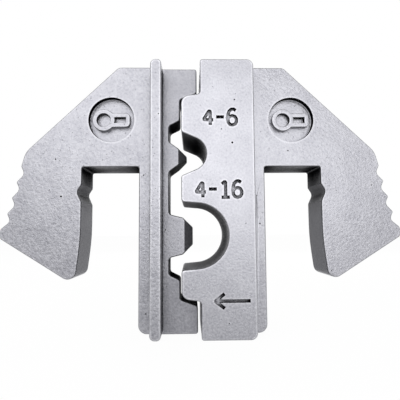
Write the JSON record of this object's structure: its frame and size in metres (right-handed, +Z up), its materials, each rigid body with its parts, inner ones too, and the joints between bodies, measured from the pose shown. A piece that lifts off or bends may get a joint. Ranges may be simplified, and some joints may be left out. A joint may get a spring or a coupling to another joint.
{
  "type": "crimp die",
  "caption": "Quick-change crimp die in two halves: a block with open nests and a plate with indenters, each with a forked spring wing that snaps onto a tool's jaw.",
  "frame": {"origin": "bottom centre of the closed die set: midway between the two shoulders, at mid-thickness, level with the lower die ends", "axes": "+X along the closing direction towards the nest die's wing, +Y along the cable away from the marked front, +Z up along the die's length"},
  "size_m": [0.0594, 0.0128, 0.04],
  "materials": {
    "nest_die_steel": "satin bead-blasted moulded steel",
    "indenter_die_steel": "satin bead-blasted moulded steel"
  },
  "bodies": {
    "nest_die": {"nest_die": "nest_die_steel"},
    "indenter_die": {"indenter_die": "indenter_die_steel"}
  },
  "joints": [
    {"name": "closing_stroke", "type": "slide", "parent": "nest_die", "child": "indenter_die", "axis": [-1, 0, 0], "range_m": [-0.0002, 0.012]}
  ]
}
